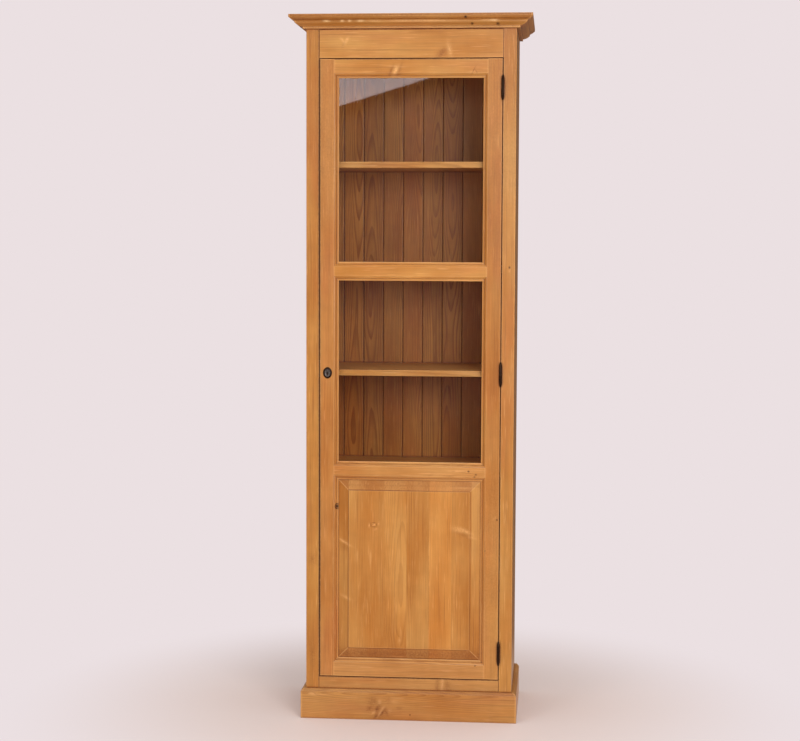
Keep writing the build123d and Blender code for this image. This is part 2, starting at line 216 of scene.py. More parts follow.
class PineBoard:
    # the pine of one board; lie has the axes of its length, face and thickness
    def __init__(self, name, lie, centre, seed, tone, staves):
        self.graph = Graph(name)
        self.lie = lie
        self.seed = seed
        place = self.graph.node("ShaderNodeTexCoord", None, None, "Object")
        self.length, self.width, self.thickness = [
            self.graph.node("ShaderNodeSeparateXYZ", None, {0: place}, axis) for axis in lie]
        self.aside = self.width - centre[lie[1]]
        self.inward = self.thickness - centre[lie[2]]
        self.grainAcross = self.aside
        self.grainAlong = self.length + seed * pine["seedStep"]
        self.level = 1.0 + tone
        self.dull = 0.0
        if staves:
            self.glueUp(staves)
        self.noises = {layer: self.noise(*values) for layer, values in grain.items()}
        self.broken = self.graph.smooth(self.speckle(260, 260, 0.6), 0.3, 0.7) * 0.8 + 0.4

    def glueUp(self, staves):
        # each strip has its own tone and its own stretch of grain
        strip = 0.0
        for edge, step in staves:
            passed = self.width.math("GREATER_THAN", edge)
            strip = passed + strip
            self.level = passed * step + self.level
        across, along = pine["staveShift"]
        self.grainAcross = self.grainAcross + strip * across
        self.grainAlong = self.grainAlong + strip * along

    def noise(self, across, along, detail, roughness, seedShare):
        through = self.thickness * across + self.seed * seedShare
        place = self.graph.vector(self.grainAcross * across, through, self.grainAlong * along)
        return self.graph.noise(place, 1.0, detail, roughness)

    def speckle(self, across, along, roughness=0.5):
        place = self.graph.vector(self.width * across, self.thickness * across, self.length * along)
        return self.graph.noise(place, 1.0, 2.0, roughness)

    def drift(self, value, start):
        return self.graph.noise(self.graph.vector(value, start, 0.0), 1.0, 1.0)

    def paint(self, amount, name):
        self.colour = self.graph.mix(amount, self.colour, pine[name])

    def measureKnots(self, knots):
        # how many of its own radii each point is from each knot
        measured = []
        for along, across, radius, dark in knots:
            a = (self.length - along) * 0.8
            b = self.width - across
            measured.append(((a * a + b * b).math("SQRT") / radius, radius, dark))
        return measured

    def measureMarks(self, marks):
        # how strongly each mark shows at each point
        measured = []
        for kind, amount, along, across, halfLong, halfWide, *slope in marks:
            b = self.width - across
            a = (self.length - along - b * (slope[0] if slope else 0.0)) / halfLong
            b = b / halfWide
            measured.append((((a * a + b * b) * -1.0).math("EXPONENT"), kind, amount))
        return measured

    def growRings(self, pith, wander, knots, marks):
        # growth rings round a pith that wanders along the board
        sway = self.drift(self.grainAlong * 0.9, self.seed) - 0.5
        lift = self.drift(self.grainAlong * 1.3, self.seed + 7.3) - 0.5
        across = self.grainAcross + sway * (pine["sway"] * wander) - pith[0]
        through = self.inward + lift * (pine["lift"] * wander) + pith[1]
        radius = (across * across + through * through).math("SQRT")
        for distance, knotRadius, _ in knots:
            radius = (distance * distance * -0.2).math("EXPONENT") * (knotRadius * 0.9) + radius
        for weight, *_ in marks:
            radius = weight * pine["parting"] + radius
        radius = radius + (self.noises["waver"] - 0.5) * 0.003
        spacing = self.drift(radius * 55, self.seed)
        ring = (radius / pine["ringWidth"] + spacing * 3.0).math("FRACT")
        self.late = self.graph.smooth(ring, 0.4, 0.93) * self.graph.smooth(ring, 1.0, 0.95)

    def paintGrain(self, warmth, figure, streaks):
        graph, noises = self.graph, self.noises
        blush = graph.vector(self.grainAcross * 15, self.seed - 3.1, self.grainAlong * 3.4)
        self.colour = graph.mix(graph.smooth(noises["cloud"], 0.3, 0.7), pine["body"], pine["pale"])
        self.paint(graph.smooth(graph.noise(blush, 1.0, 2.0), 0.45, 0.72) * warmth, "warm")
        self.paint(self.late * (noises["streak"] * 0.5 + 0.14) * figure, "late")
        self.paint(graph.smooth(noises["line"], 0.52, 0.8) * 0.5, "late")
        self.paint(graph.smooth(noises["dash"], 0.56, 0.78) * 0.45, "fleck")
        self.paint(graph.smooth(noises["fibre"], 0.58, 0.8) * 0.25, "late")
        self.level = ((noises["streak"] - 0.5) * streaks + (noises["shimmer"] - 0.5) * 0.13
                      + (noises["blotch"] - 0.5) * 0.24 + self.level)

    def paintMarks(self, marks):
        for weight, kind, amount in marks:
            if kind == "wax":  # dull wax and painted gap shade, and only at the front of a joint
                kind = "gap"
                weight = weight * self.graph.smooth(self.thickness, pine["waxBack"], pine["waxFront"])
                self.dull = weight + self.dull
            self.paint(weight * self.broken * amount, kind)

    def paintKnots(self, knots):
        graph = self.graph
        spread, heart = 0.0, 0.0
        for distance, _, dark in knots:
            bark = graph.smooth((distance - 1.0).math("ABSOLUTE"), 0.22, 0.03) * (0.8 * dark * dark)
            core = graph.smooth(distance, 0.75, 0.4) * dark
            spread = (graph.smooth(distance, 1.25, 0.75) * dark).math("MAXIMUM", spread)
            heart = bark.math("MAXIMUM", core).math("MAXIMUM", heart)
        self.paint(spread * (self.broken * 0.5 + self.speckle(420, 300) * 0.4), "dark")
        self.paint(heart * (self.broken * 0.3 + 0.72), "heart")
        self.dull = heart + self.dull

    def shade(self, stain):
        if stain:
            self.colour = self.graph.mix(1.0, self.colour, stain, "MULTIPLY")
        self.colour = self.graph.node("ShaderNodeVectorMath", {"operation": "SCALE"},
                                      {0: self.colour, 3: self.level})

    def paintField(self, middle, halfLong, halfWide):
        # a raised field: a painted shadow line at its foot, stronger on the left side, and a painted
        # highlight along each mitre ridge
        graph = self.graph
        up = (self.length - middle).math("ABSOLUTE") - halfLong
        out = self.aside.math("ABSOLUTE") - halfWide
        beyond = up.math("MAXIMUM", out)
        footShadow = graph.smooth((beyond - 0.001).math("ABSOLUTE"), 0.0018, 0.0006)
        self.paint(footShadow * graph.smooth(self.aside, -0.1, 0.15, 0.6, 0.15), "crevice")
        ridgeHighlight = graph.smooth((up - out).math("ABSOLUTE"), 0.0024, 0.0006) * graph.smooth(beyond, 0.0, 0.003)
        self.paint(ridgeHighlight * self.broken * 0.5, "fleck")

    def paintWearAndShade(self):
        # end grain drinks more stain; painted shade darkens corners and gaps, and edges are painted paler,
        # partly as wear and partly as a painted highlight
        graph = self.graph
        facing = graph.node("ShaderNodeTexCoord", None, None, "Normal")
        ends = graph.node("ShaderNodeSeparateXYZ", None, {0: facing}, self.lie[0]).math("ABSOLUTE")
        corner = graph.node("ShaderNodeAmbientOcclusion", {"samples": 6},
                            {"Distance": pine["cornerReach"]}, "AO")
        rubbedAndLit = graph.node("ShaderNodeAmbientOcclusion", {"samples": 4, "inside": True},
                            {"Distance": pine["edgeReach"]}, "AO")
        sunk = graph.smooth(corner, 0.6, 0.3)
        self.paint(graph.smooth(ends, 0.03, 0.3) * 0.2 + graph.smooth(ends, 0.3, 1.0) * 0.25, "dark")
        # painted shade in corners and creases, and red-brown deep inside gaps
        self.paint(graph.smooth(corner, 0.86, 0.45) * 0.85, "crevice")
        self.paint(sunk, "sunk")
        # painted highlight, with wear: convex edges paler
        self.paint(graph.smooth(rubbedAndLit, 0.95, 0.6) * 0.3, "fleck")
        self.dull = (sunk + self.dull).math("MINIMUM", 1.0)

    def finish(self):
        graph, late = self.graph, self.late
        fibre, line, cloud = [self.noises[name] for name in ("fibre", "line", "cloud")]
        height = fibre * 0.3 + line * 0.5 + late * 0.5
        normal = graph.node("ShaderNodeBump", None,
                            {"Strength": 0.16, "Distance": pine["bump"], "Height": height})
        rough = fibre * 0.1 + cloud * 0.14 + (pine["roughness"] - 0.12) - late * 0.05 + self.dull * 0.5
        shader = graph.node("ShaderNodeBsdfPrincipled", None, {
            "Base Color": self.colour, "Roughness": rough, "Normal": normal,
            "Coat Weight": pine["coat"] * (1 - self.dull), "Coat Roughness": 0.3, "IOR": 1.45})
        return graph.finish(shader)


def pineMaterial(name, lie, centre, seed, pith=(0.09, 0.035), tone=0.0, streaks=0.34, knots=(), marks=(),
                 staves=(), wander=1.0, warmth=0.4, figure=1.0, field=None, stain=None):
    board = PineBoard(name, lie, centre, seed, tone, staves)
    knots, marks = board.measureKnots(knots), board.measureMarks(marks)
    board.growRings(pith, wander, knots, marks)
    board.paintGrain(warmth, figure, streaks)
    board.paintMarks(marks)
    if knots:
        board.paintKnots(knots)
    board.shade(stain)
    if field:
        board.paintField(*field)
    board.paintWearAndShade()
    return board.finish()


# how each board lies: the axes, 0 X, 1 Y and 2 Z, of its length, face and thickness
standing = (2, 0, 1)
standingSide = (2, 1, 0)
lying = (0, 2, 1)
flat = (0, 1, 2)
running = (1, 2, 0)
whole = 9.0   # a mark's half length that takes in the whole board

# lengths in metres from the frame's origin
# knots: place along and across the board, radius and darkness
# marks: kind, amount, place along and across, half length and half width, and how far it leans
# staves: where a strip starts, and the change of tone there
# field: height of its middle, half its height and half its width
boards = {
    "frieze_rail": {
        "lie": lying, "pith": (0.14, 0.03), "tone": 0.05, "streaks": 0.24, "figure": 0.8,
        # the dark line at the top, under the cornice, is a joint line with dull wax and painted shade
        "marks": (("wax", 1.2, 0.0, 2.0594, whole, 0.0013),
                  ("fleck", 0.8, -0.192, 2.0255, 0.005, 0.012, 0.5),
                  ("fleck", 0.6, -0.203, 2.028, 0.004, 0.007, -0.6),
                  ("dark", 0.3, -0.199, 2.016, 0.005, 0.012, 0.4),
                  ("dark", 0.5, 0.094, 1.99, 0.014, 0.014, 0.7),
                  ("fleck", 0.5, 0.113, 1.999, 0.007, 0.022, -0.2),
                  ("dark", 0.45, 0.088, 1.988, 0.012, 0.016, 0.5))},
    "base_rail": {
        "lie": lying, "pith": (0.1, 0.05), "tone": -0.07, "stain": (1, 0.95, 1.03, 1),
        # the dark line at the top, under the door, is painted gap shade with dull wax
        "marks": (("wax", 1.3, 0.0, 0.1256, whole, 0.0015),
                  ("fleck", 0.6, 0.1018, 0.1051, 0.0045, 0.03, 0.1),
                  ("dark", 0.42, 0.087, 0.104, 0.006, 0.03, 0.1),
                  ("dark", 0.38, 0.118, 0.106, 0.009, 0.03, -0.1))},
    "plinth_front": {
        "lie": lying, "pith": (0.05, 0.06), "wander": 1.6, "tone": -0.1, "stain": (1, 0.94, 0.95, 1),
        "knots": ((0.0069, 0.0177, 0.0022, 0.8),),
        "marks": (("dark", 0.3, 0.0, 0.0845, whole, 0.006), ("fleck", 0.25, -0.045, 0.058, 0.016, 0.005),
                  ("dark", 0.5, -0.108, 0.057, 0.015, 0.012),
                  ("dark", 0.42, -0.058, 0.062, 0.011, 0.011),
                  ("fleck", 0.8, -0.085, 0.055, 0.005, 0.007),
                  ("dark", 0.95, -0.092, 0.035, 0.006, 0.011, 0.5),
                  ("fleck", 0.95, -0.084, 0.021, 0.0045, 0.01, 0.6),
                  ("dark", 0.95, -0.077, 0.022, 0.0045, 0.011, 0.6),
                  ("dark", 0.85, -0.095, 0.013, 0.006, 0.008, 0.5),
                  ("fleck", 0.7, -0.075, 0.036, 0.005, 0.006, 0.5),
                  ("dark", 0.6, -0.116, 0.034, 0.009, 0.009, 0.3),
                  ("dark", 0.65, -0.066, 0.025, 0.006, 0.01, -0.3),
                  ("fleck", 0.35, -0.054, 0.029, 0.006, 0.006, 0.2),
                  ("dark", 0.4, -0.025, 0.038, 0.01, 0.004, 0.1),
                  ("fleck", 0.9, -0.103, 0.022, 0.005, 0.005, 0.6),
                  ("dark", 0.2, -0.09, 0.03, 0.035, 0.04), ("fleck", 0.7, -0.29, 0.076, 0.012, 0.006))},
    "cornice_front": {
        "lie": lying, "pith": (0.09, 0.05), "tone": -0.07,
        "knots": ((0.1615, 2.0891, 0.0034, 1.0), (0.18, 2.0716, 0.003, 0.9), (0.2548, 2.0711, 0.004, 0.8)),
        # painted highlights: bright glints along the top edge of the middle fillet
        "marks": (("chip", 1.3, -0.247, 2.0808, 0.009, 0.0028),
                  ("chip", 1.3, -0.2, 2.0808, 0.005, 0.0028),
                  ("chip", 1.3, -0.178, 2.0808, 0.005, 0.0028),
                  ("chip", 1.3, -0.145, 2.0808, 0.01, 0.0028),
                  ("fleck", 0.98, -0.105, 2.0808, 0.02, 0.0028),
                  ("fleck", 0.98, -0.02, 2.0808, 0.05, 0.0028),
                  ("fleck", 0.98, 0.06, 2.0808, 0.07, 0.0028),
                  ("fleck", 0.98, 0.225, 2.0808, 0.02, 0.0028),
                  ("chip", 1.3, 0.245, 2.0808, 0.01, 0.0028),
                  # a painted highlight on the lower fillet, a darker top fillet, and painted shade under
                  # the upper slope and on the lower slope
                  ("fleck", 0.55, 0.0, 2.0656, whole, 0.0032), ("dark", 0.75, 0.0, 2.098, whole, 0.0085),
                  ("dark", 0.9, 0.0, 2.0852, whole, 0.0022), ("dark", 0.22, 0.0, 2.0725, whole, 0.004))},
    "door_stop": {"lie": lying},
    "door_top_rail": {
        "lie": lying, "pith": (0.12, 0.04), "tone": 0.06,
        # the dark line at the door's top edge is painted gap shade with dull wax
        "marks": (("wax", 1.4, 0.0, 1.9731, whole, 0.0016), ("dark", 0.9, -0.047, 1.9275, 0.016, 0.0025),
                  ("fleck", 0.8, -0.0462, 1.9385, 0.008, 0.013, 0.35),
                  ("dark", 0.6, -0.0585, 1.9385, 0.005, 0.016, 0.35),
                  ("dark", 0.42, -0.034, 1.9405, 0.005, 0.02, 0.35),
                  ("dark", 0.95, 0.1835, 1.938, 0.0015, 0.01, 0.5),
                  ("dark", 0.7, 0.192, 1.935, 0.002, 0.006, -0.5))},
    "door_glazing_rail": {"lie": lying, "pith": (0.11, 0.03), "tone": 0.12},
    "door_panel_rail": {
        "lie": lying, "pith": (0.07, 0.06), "tone": 0.02, "wander": 1.4, "stain": (1, 0.95, 1.03, 1),
        "knots": ((0.1771, 0.7559, 0.0026, 0.8), (0.199, 0.7465, 0.003, 0.6),
                  (0.195, 0.7395, 0.0026, 0.6)),
        "marks": (("fleck", 0.3, 0.15, 0.757, 0.03, 0.003), ("dark", 0.3, 0.1, 0.7425, 0.05, 0.002))},
    "door_bottom_rail": {
        "lie": lying, "pith": (0.08, 0.06), "tone": -0.03, "wander": 1.5, "stain": (1, 0.93, 1.02, 1),
        "knots": ((0.2005, 0.169, 0.0019, 0.95),),
        "marks": (("fleck", 0.6, -0.0165, 0.181, 0.016, 0.003), ("dark", 0.3, -0.06, 0.182, 0.03, 0.003))},
    "door_stile_left": {
        "lie": standing, "pith": (0.12, 0.03), "tone": -0.04, "stain": (1, 0.89, 0.87, 1),
        "knots": ((0.644, -0.2165, 0.0066, 1.2),),
        # painted gap shade, with dull wax, along the door's left edge
        "marks": (("dark", 0.25, 1.75, -0.24, 0.4, 0.2), ("wax", 1.4, 0.45, -0.2684, 0.6, 0.0018),
                  ("wax", 1.4, 1.5, -0.2687, 0.6, 0.0014))},
    "door_stile_right": {
        "lie": standing, "pith": (-0.12, 0.03), "tone": -0.07, "stain": (1, 0.9, 0.77, 1),
        "knots": ((0.6117, 0.263, 0.0025, 0.7), (0.5178, 0.228, 0.0016, 0.7)),
        # the thin dark line at 0.2688 is painted gap shade along the door's right edge
        "marks": (("dark", 0.25, 1.75, 0.24, 0.4, 0.2), ("dark", 0.95, 1.0, 0.2688, whole, 0.0012),
                  ("fleck", 0.35, 1.7302, 0.257, 0.018, 0.004),
                  ("fleck", 0.35, 0.617, 0.257, 0.004, 0.006, 0.6),
                  ("fleck", 0.25, 0.42, 0.24, 0.35, 0.2))},
    "frame_stile_left": {
        "lie": standing, "pith": (-0.1, 0.03), "tone": -0.04, "stain": (1, 0.92, 0.77, 1),
        # painted gap shade, with dull wax, beside the door
        "marks": (("wax", 1.5, 1.6, -0.2719, 0.6, 0.0024), ("wax", 1.2, 0.5, -0.2718, 0.6, 0.001),
                  ("dark", 0.12, 1.8, -0.29, 0.5, 0.2),
                  ("dark", 0.45, 0.4864, -0.2894, 0.02, 0.012, 0.3),
                  ("dark", 0.4, 0.1993, -0.2893, 0.045, 0.012, 0.2))},
    "frame_stile_right": {
        "lie": standing, "pith": (0.1, 0.03), "tone": 0.02,
        "knots": ((1.3629, 0.2938, 0.003, 0.8),),
        # the gap line at 0.2716 is painted gap shade beside the door
        "marks": (("dark", 0.25, 1.8, 0.29, 0.35, 0.2), ("gap", 1.0, 1.0, 0.2716, whole, 0.001),
                  ("fleck", 0.3, 1.352, 0.2938, 0.009, 0.002))},
    "door_panel": {
        "lie": standing, "pith": (0.05, 0.07), "wander": 0.7, "warmth": 0.03, "figure": 0.7,
        "tone": -0.04, "streaks": 0.2, "stain": (0.99, 0.93, 0.86, 1), "field": (0.4545, 0.239, 0.182),
        "staves": ((-0.182, 0.04), (-0.075, 0.03), (-0.007, -0.05), (0.0599, 0.19), (0.1285, -0.17),
                   (0.187, 0.01)),
        "marks": (("dark", 0.7, 0.5968, -0.1056, 0.0018, 0.007),
                  ("dark", 0.7, 0.5848, -0.1056, 0.0018, 0.007),
                  ("dark", 0.7, 0.5908, -0.114, 0.0055, 0.0018),
                  ("dark", 0.7, 0.5908, -0.0972, 0.0055, 0.0018),
                  ("fleck", 0.9, 0.5908, -0.1056, 0.0028, 0.004),
                  ("dark", 0.9, 0.5915, -0.108, 0.0015, 0.0015),
                  ("fleck", 0.6, 0.594, -0.091, 0.006, 0.0022, 0.3),
                  ("dark", 0.35, 0.32, -0.073, 0.3, 0.0009), ("dark", 0.4, 0.46, 0.06, 0.4, 0.0009),
                  ("dark", 0.3, 0.46, 0.1285, 0.4, 0.0009), ("fleck", 0.5, 0.705, 0.16, 0.003, 0.03),
                  ("fleck", 0.5, 0.7235, 0.19, 0.003, 0.02), ("fleck", 0.5, 0.1885, -0.03, 0.003, 0.03),
                  ("dark", 0.12, 0.2325, -0.06, 0.03, 0.03),
                  ("fleck", 0.6, 0.588, -0.1195, 0.006, 0.0022, 0.3),
                  ("fleck", 0.4, 0.577, -0.1, 0.003, 0.006, 0.3),
                  ("fleck", 0.35, 0.2413, -0.0274, 0.008, 0.004, 0.3),
                  ("dark", 0.3, 0.455, 0.0515, 0.12, 0.0012),
                  ("fleck", 0.6, 0.579, 0.148, 0.008, 0.018, -0.2),
                  ("fleck", 0.75, 0.575, 0.17, 0.006, 0.02, -0.45),
                  ("dark", 0.35, 0.564, 0.165, 0.006, 0.024, -0.35),
                  ("fleck", 0.5, 0.556, 0.188, 0.004, 0.012, -0.3),
                  ("fleck", 0.8, 0.537, -0.1965, 0.0045, 0.018, -0.5),
                  ("fleck", 0.4, 0.529, -0.184, 0.003, 0.008, -0.4),
                  ("fleck", 0.6, 0.3681, -0.1902, 0.006, 0.014, -0.4),
                  ("dark", 0.22, 0.519, -0.192, 0.008, 0.012, -0.4),
                  # painted shade on the bottom bevel, which faces down; two thin dark lines across the top
                  # bevel
                  ("dark", 0.65, 0.197, 0.0, 0.018, 1.0), ("dark", 0.5, 0.7255, 0.0, 0.0016, 1.0),
                  ("dark", 0.2, 0.709, 0.0, 0.003, 1.0))},
}


cornice = {
    "corner": (310, -164, 2100),   # of the case, under its top
    "back": 211,
    "reach": 47,
    # how far out and how far down, round the section
    "section": ((0, 38.6), (0, 0), (47, 0), (47, 8), (43.4, 11.2), (39.5, 14.1), (35.4, 16.5), (31, 18.5),
                (31, 23), (26.4, 26.6), (21.4, 29.6), (15.9, 31.7), (10, 33), (10, 38.6)),
}


def addPiece(name, shape, body, replaced=None):
    # it may stand in for a plain solid
    piece = placeObject(name, meshFrom(name, shape))
    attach(piece, body)
    if replaced:
        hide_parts(replaced)
    return piece


def makeCornice(node, side):
    # one mitred length: side is 0 for the front, and -1 or 1 for a return
    acrossCase, front, top = cornice["corner"]
    reach = cornice["reach"]
    shape = bmesh.new()
    if side:
        line = [(side * (acrossCase + out), front - reach, top - down) for out, down in cornice["section"]]
        sweep = (0, cornice["back"] - front + reach, 0)
    else:
        line = [(-acrossCase - reach, front - out, top - down) for out, down in cornice["section"]]
        sweep = (2 * (acrossCase + reach), 0, 0)
    face = shape.faces.new([shape.verts.new(millimetres(*point)) for point in line])
    swept = bmesh.ops.extrude_face_region(shape, geom=[face])["geom"]
    bmesh.ops.translate(shape, vec=millimetres(*sweep), verts=ofKind(swept, bmesh.types.BMVert))
    for end in ((side,) if side else (-1, 1)):
        cut = bmesh.ops.bisect_plane(shape, geom=[*shape.verts, *shape.edges, *shape.faces],
                                     plane_co=millimetres(end * acrossCase, front, 0), plane_no=(end, 1, 0),
                                     clear_inner=bool(side), clear_outer=not side)["geom_cut"]
        bmesh.ops.edgeloop_fill(shape, edges=ofKind(cut, bmesh.types.BMEdge))
    bmesh.ops.recalc_face_normals(shape, faces=shape.faces)
    return addPiece("moulded_" + node, shape, "root", node)


ease = {
    "weld": 0.00002,
    "width": 0.0007,
    "angle": 35,
}


def dressBoard(node, board, seed, lie, **options):
    # pine, and edges eased as by sandpaper
    low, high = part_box(node)
    board.data.materials.clear()
    board.data.materials.append(pineMaterial("pine_" + node, lie, (low + high) / 2, seed, **options))
    board.modifiers.new("weld", "WELD").merge_threshold = ease["weld"]
    eased = board.modifiers.new("ease", "BEVEL")
    eased.width = ease["width"]
    eased.segments = 2
    eased.limit_method = "ANGLE"
    eased.angle_limit = math.radians(ease["angle"])


backBoards = {
    "left": -300,    # mm
    "pitch": 62.3,
    "joint": 2,      # half the width of the dark line at a joint
}


def backBoardOptions(number, board):
    joints = [(backBoards["left"] + backBoards["pitch"] * joint) / 1000 for joint in (board - 1, board)]
    # darker and more saturated than the outside boards: partly a deeper finish, partly painted shade for
    # the dim inside of the case
    return {"lie": standing, "pith": (0.05 - 0.02 * (number % 4), 0.04), "wander": 1.3, "figure": 1.6,
            "tone": -0.25 + 0.04 * (number % 3), "warmth": 0.35, "stain": (1.04, 0.84, 0.58, 1),
            "marks": [("gap", 1.1, 1.0, joint, whole, backBoards["joint"] / 1000) for joint in joints]}


def boardOptions(name, number):
    # the boards that have no entry of their own, by kind
    if name in boards:
        return boards[name]
    if name.startswith("back_board"):
        return backBoardOptions(number, int(name.split("_")[-1]))
    if name.startswith("side"):
        knot = (1.9102, 0.0117, 0.009, 0.6) if name == "side_right" else (0.83, 0.05, 0.008, 0.5)
        return {"lie": standingSide, "tone": -0.12, "staves": ((-0.09, 0.03), (0.0, -0.05), (0.085, 0.04)),
                "knots": (knot,)}
    if name.startswith("glass_beads"):
        return {"lie": lying}
    if name.startswith(("cornice", "plinth", "shelf_bearers")):
        return {"lie": running}
    if name.startswith("shelf") or name in ("top_board", "bottom_board"):
        return {"lie": flat, "tone": 0.05, "stain": (1, 1.03, 1.2, 1),
                "staves": ((-0.08, 0.04), (0.0, -0.06), (0.08, 0.03))}
    return None


shown = dict(nodes)
for name, side in (("cornice_front", 0), ("cornice_left", -1), ("cornice_right", 1)):
    shown[name] = makeCornice(name, side)
for number, name in enumerate(sorted(nodes)):
    options = boardOptions(name, number)
    if options:
        dressBoard(name, shown[name], number * pine["seed"], **options)
print("boards dressed")


def glassMaterial():
    graph = Graph("clear_glass")
    through = graph.node("ShaderNodeBsdfTransparent", None, {"Color": (0.985, 0.99, 0.985, 1)})
    gloss = graph.node("ShaderNodeBsdfGlossy", None, {"Roughness": 0.01})
    back = graph.node("ShaderNodeNewGeometry", None, None, "Backfacing")
    mirrored = graph.node("ShaderNodeFresnel", None, {"IOR": 1.5}) * (1 - back)   # as light enters the pane
    return graph.finish(graph.node("ShaderNodeMixShader", None, {0: mirrored, 1: through, 2: gloss}))


metals = {
    "dark_bronze": {"colour": srgb(46, 30, 20), "metallic": 0.8, "roughness": 0.42},
    "worn_bronze": {"colour": srgb(86, 80, 78), "metallic": 0.6, "roughness": 0.36},
    "lock_steel": {"colour": srgb(130, 125, 118), "metallic": 0.9, "roughness": 0.35},
}


def metalMaterial(name):
    # mottled with paler patches, as old metal is
    values = metals[name]
    graph = Graph(name)
    place = graph.node("ShaderNodeTexCoord", None, None, "Object")
    mottle = graph.noise(place, 420.0, 4.0, 0.6)
    paler = [min(1, part * 2.4) for part in values["colour"][:3]] + [1]
    tint = graph.mix(graph.smooth(mottle, 0.35, 0.75), values["colour"], paler)
    shader = graph.node("ShaderNodeBsdfPrincipled", None, {
        "Base Color": tint, "Metallic": values["metallic"],
        "Roughness": mottle * 0.3 + (values["roughness"] - 0.15)})
    return graph.finish(shader)


glass = glassMaterial()
bronze, palePlate, steel = [metalMaterial(name) for name in metals]
panes = ("glass_upper", "glass_lower")
finishes = {name: glass for name in panes}
finishes.update({name: steel for name in ("lock_case", "lock_bolt", "strike_plate")})
finishes.update({name: bronze for name in nodes if name.startswith("hinge") or name == "escutcheon"})
for name, finish in finishes.items():
    nodes[name].data.materials.clear()
    nodes[name].data.materials.append(finish)
print("glass and metal dressed")


def turnProfile(shape, profile, steps):
    # (radius, height) points in mm, turned round Z
    line = [shape.verts.new(millimetres(radius, 0, height)) for radius, height in profile]
    edges = [shape.edges.new(pair) for pair in zip(line, line[1:])]
    bmesh.ops.spin(shape, geom=line + edges, cent=(0, 0, 0), axis=(0, 0, 1), angle=math.tau, steps=steps,
                   use_merge=True)
    bmesh.ops.remove_doubles(shape, verts=shape.verts, dist=0.000001)


def addCopy(shape, mesh, matrix):
    kept = set(shape.verts)
    shape.from_mesh(mesh)
    bmesh.ops.transform(shape, matrix=matrix, verts=[vert for vert in shape.verts if vert not in kept])


def addFitting(name, shape, materials, body, replaced=None):
    # smooth but for its sharp edges
    bmesh.ops.recalc_face_normals(shape, faces=shape.faces)
    for face in shape.faces:
        face.smooth = True
    for edge in shape.edges:
        edge.smooth = edge.calc_face_angle(0) < math.radians(32)
    piece = addPiece(name, shape, body, replaced)
    for each in materials:
        piece.data.materials.append(each)


fastener = {
    "screw": 0.0022,      # radius of a head
    "slot": 0.00028,      # half the width of its slot
    "slotDepth": 0.0005,
    "nail": 0.0021,
    "pin": 0.0007,
    "turn": 2.4,          # radians from one slot to the next
}


def makeHead(radius, slotted=False):
    # a low head with its face towards +Z
    shape = bmesh.new()
    bmesh.ops.create_cone(shape, cap_ends=True, segments=16 if slotted else 8, radius1=radius,
                          radius2=radius * 0.8, depth=radius * 0.5)
    if slotted:
        half = fastener["slot"]
        for side in (-1, 1):
            bmesh.ops.bisect_plane(shape, geom=[*shape.verts, *shape.edges, *shape.faces],
                                   plane_co=(side * half, 0, 0), plane_no=(1, 0, 0))
        strip = [face for face in shape.faces
                 if face.normal.z > 0.9 and abs(face.calc_center_median().x) < half]
        sunk = bmesh.ops.extrude_discrete_faces(shape, faces=strip)["faces"]
        bmesh.ops.translate(shape, vec=(0, 0, -fastener["slotDepth"]),
                            verts=[vert for face in sunk for vert in face.verts])
    return meshFrom("head", shape)


screw = makeHead(fastener["screw"], slotted=True)
nail = makeHead(fastener["nail"])
pin = makeHead(fastener["pin"])


def headPlace(place, outward, turn=0.0):
    return (Matrix.Translation(place) @ Vector(outward).to_track_quat("Z", "Y").to_matrix().to_4x4()
            @ Matrix.Rotation(turn, 4, "Z"))


hinge = {
    "axis": (270.25, -169.0),
    "heights": {"top": 1889.0, "middle": 1046.0, "bottom": 208.5},
    # radius and distance from the joint
    "barrel": ((3.9, 0.15), (4.35, 0.55), (4.5, 1.2), (4.5, 2.8), (4.25, 3.1), (4.5, 3.4), (4.5, 24.6),
               (4.3, 25.2), (4.5, 25.8), (4.5, 26.2), (4.2, 27), (3.75, 29), (3.45, 31.2), (2.9, 33.6),
               (2.1, 35.9), (1.2, 37.4), (0.5, 37.9), (0, 38)),
    "pin": ((0, -20), (1.8, -20), (2.2, -19.5), (2.2, 0.15)),
    "bore": ((0, 20.45), (2.25, 20.45), (2.25, 0.4), (2.5, 0.15)),
    "leaf": ((-2.75, -1.25), (3.35, 22.0), (1.5, 24.5)),   # across, back and away from the joint
    "leafCorner": 0.002,
    "screws": ((10.5, 7.0), (16.5, 13.0), (10.5, 19.0)),   # back and away from the joint
}


def makeLeaf(shape):
    # rounded at its two back corners, with three screws in the side away from the axis
    size = [high - low for low, high in hinge["leaf"]]
    middle = [(low + high) / 2 for low, high in hinge["leaf"]]
    made = bmesh.ops.create_cube(shape, size=1, matrix=Matrix.Translation(millimetres(*middle))
                                 @ Matrix.Diagonal((*millimetres(*size), 1)))["verts"]
    ends = [edge for edge in shape.edges
            if all(vert in made and vert.co.y > middle[1] / 1000 for vert in edge.verts)
            and abs(edge.verts[0].co.x - edge.verts[1].co.x) > 0.001]
    bmesh.ops.bevel(shape, geom=ends, affect="EDGES", offset=hinge["leafCorner"], segments=3, profile=0.5,
                    material=-1)
    for back, away in hinge["screws"]:
        place = millimetres(hinge["leaf"][0][1], back, away)
        addCopy(shape, screw, headPlace(place, (1, 0, 0), back + away))


def makeHinge(level, height, half, body, profile, turned):
    # a barrel with its finial, its leaf and its bore or pin; turned over, its leaf changes sides too
    shape = bmesh.new()
    turnProfile(shape, profile + hinge["barrel"], 28)
    makeLeaf(shape)
    place = Matrix.Translation(millimetres(*hinge["axis"], height))
    bmesh.ops.transform(shape, matrix=place @ Matrix.Rotation(turned, 4, "Y"), verts=shape.verts)
    name = "hinge_" + level + "_" + half + "_half"
    addFitting("turned_" + name, shape, (bronze,), body, name)


